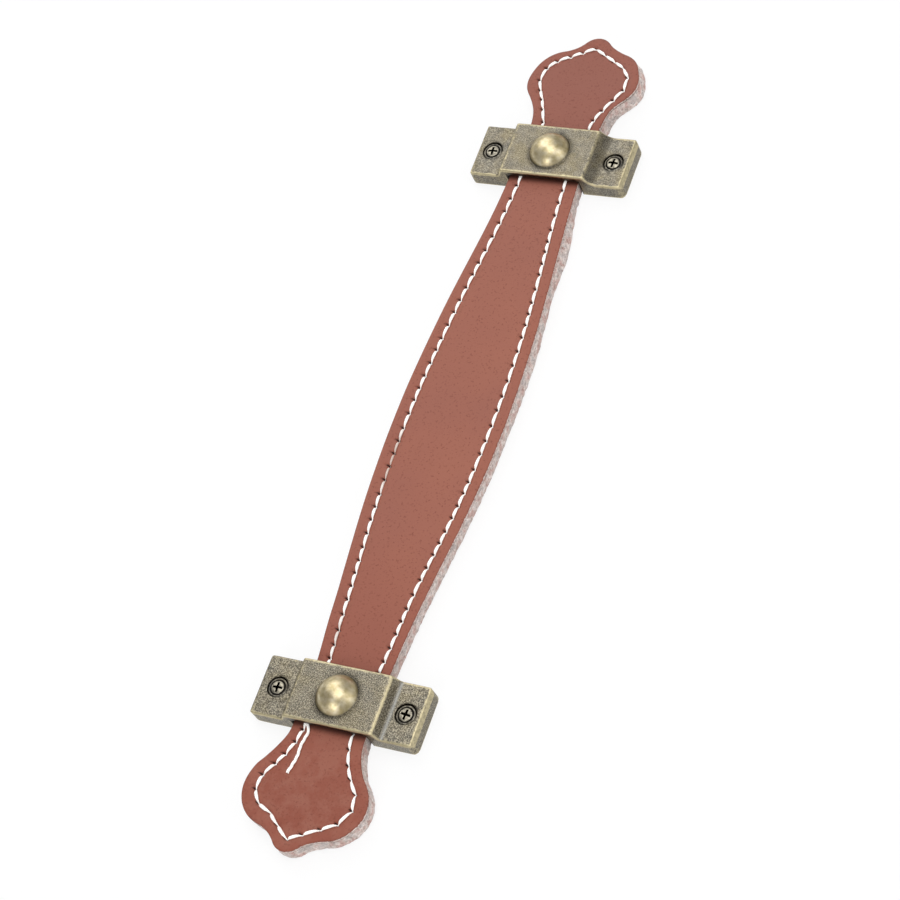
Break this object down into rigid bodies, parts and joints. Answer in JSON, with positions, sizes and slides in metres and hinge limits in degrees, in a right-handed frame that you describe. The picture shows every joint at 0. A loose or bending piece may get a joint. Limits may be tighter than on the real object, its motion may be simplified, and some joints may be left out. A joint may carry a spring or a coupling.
{
  "type": "leather cabinet pull",
  "caption": "Flat stitched leather strap pull with pointed lobed ends, held to a door or drawer by cast brass bridge brackets with domed tops, each screwed down through its feet.",
  "frame": {"origin": "middle of the fixing pattern on the face of the door, halfway between the two brackets", "axes": "+Y along the strap to the upper bracket, +Z out of the door towards the hand, +X across the strap to the right as seen from the front"},
  "size_m": [0.04, 0.218, 0.0219],
  "materials": {
    "face_leather": "smooth red-brown top-grain leather with a low sheen and a burnished edge",
    "backing_leather": "raw pink-grey split leather, fibrous and matte",
    "stitching_thread": "white twisted thread, slightly glossy",
    "antique_brass": "antique plated casting, dark and mottled, rubbed bright along its edges and dome",
    "screw_bronze": "dark antique plated screw with a rubbed head"
  },
  "bodies": {
    "root": {"strap_face_leather": "face_leather", "strap_backing_leather": "backing_leather", "stitch_thread_top": "stitching_thread", "stitch_thread_under": "stitching_thread", "bracket_upper": "antique_brass", "bracket_lower": "antique_brass", "screw_upper_left": "screw_bronze", "screw_upper_right": "screw_bronze", "screw_lower_left": "screw_bronze", "screw_lower_right": "screw_bronze"}
  },
  "joints": []
}
